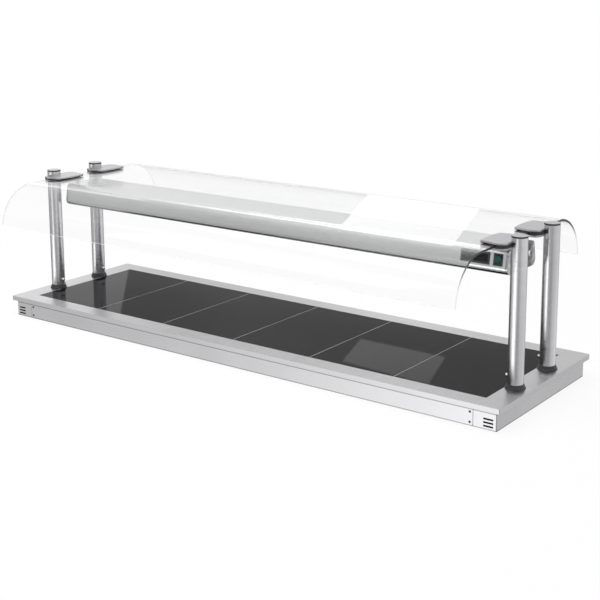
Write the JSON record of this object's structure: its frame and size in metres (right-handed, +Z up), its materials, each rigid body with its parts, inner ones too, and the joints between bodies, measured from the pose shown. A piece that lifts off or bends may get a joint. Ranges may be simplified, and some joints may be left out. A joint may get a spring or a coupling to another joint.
{
  "type": "drop-in heated glass shelf",
  "caption": "Long drop-in heated display shelf: black glass tiles in a stainless frame, tube posts, a clear bent canopy and a lamp housing with a control window and rocker.",
  "frame": {"origin": "on the underside of the base, midway between the posts in both directions, which is the bottom centre of the overall box", "axes": "+X along the shelf towards the end with the controls on its front, -Y towards the side with the controls, +Z up"},
  "size_m": [2.1, 0.83, 0.548],
  "materials": {
    "steel_top": "brushed",
    "steel_panel": "brushed",
    "galvanised": "matte",
    "screw_steel": "satin",
    "chrome": "polished",
    "black_glass": "polished",
    "seam_strip": "satin",
    "black_rubber": "matte",
    "heating_mat": "matte",
    "mineral_wool": "matte",
    "black_plastic": "satin",
    "grey_plastic": "matte",
    "polished_tube": "polished",
    "plate_steel": "satin",
    "clear_glass": "clear",
    "lamp_aluminium": "satin",
    "reflector": "polished",
    "ceramic": "matte",
    "quartz": "frosted",
    "screen": "polished",
    "rocker": "satin"
  },
  "bodies": {
    "shelf": {"top_frame": "steel_top", "end_panel_left": "steel_panel", "end_panel_right": "steel_panel", "front_fascia": "steel_panel", "rear_panel": "steel_panel", "base_plate": "galvanised", "panel_screws": "screw_steel", "counter_seal": "black_rubber", "glass_tile_1": "black_glass", "glass_tile_2": "black_glass", "glass_tile_3": "black_glass", "glass_tile_4": "black_glass", "glass_tile_5": "black_glass", "glass_tile_6": "black_glass", "seam_strips": "seam_strip", "tile_bed": "black_rubber", "cross_rails": "galvanised", "heater_mats": "heating_mat", "insulation_pads": "mineral_wool", "insulation_tray": "galvanised", "limit_thermostats": "black_plastic", "junction_box": "grey_plastic", "cable_gland": "black_plastic", "post_doublers": "galvanised", "spigot_bolts": "screw_steel", "post_spigots": "screw_steel", "post_front_left": "polished_tube", "post_rear_left": "polished_tube", "post_front_right": "polished_tube", "post_rear_right": "polished_tube", "post_collars": "black_plastic", "lock_screws": "chrome", "tie_rods": "screw_steel", "clamp_spacers": "screw_steel", "rod_nuts": "screw_steel", "cap_seals": "black_rubber", "post_caps": "polished_tube", "upper_plates": "plate_steel", "lower_plates": "plate_steel", "upper_gaskets": "black_rubber", "lower_gaskets": "black_rubber", "clamp_screws": "screw_steel", "canopy_glass": "clear_glass", "lamp_housing": "lamp_aluminium", "end_cap_left": "lamp_aluminium", "end_cap_right": "lamp_aluminium", "end_cap_screws": "screw_steel", "end_boss": "chrome", "lamp_standoffs": "lamp_aluminium", "lamp_bolts": "screw_steel", "reflector": "reflector", "lamp_holders": "ceramic", "heat_lamps": "quartz", "lamp_guard": "reflector", "control_cover": "lamp_aluminium", "control_bezel": "black_plastic", "control_screen": "screen", "controller_case": "grey_plastic", "switch_case": "black_plastic"},
    "rocker": {"switch_rocker": "rocker"}
  },
  "joints": [
    {"name": "switch_toggle", "type": "hinge", "parent": "shelf", "child": "rocker", "pos_m": [0.921, -0.08912, 0.4577], "axis": [-1, 0, 0], "range_deg": [0, 20]}
  ]
}
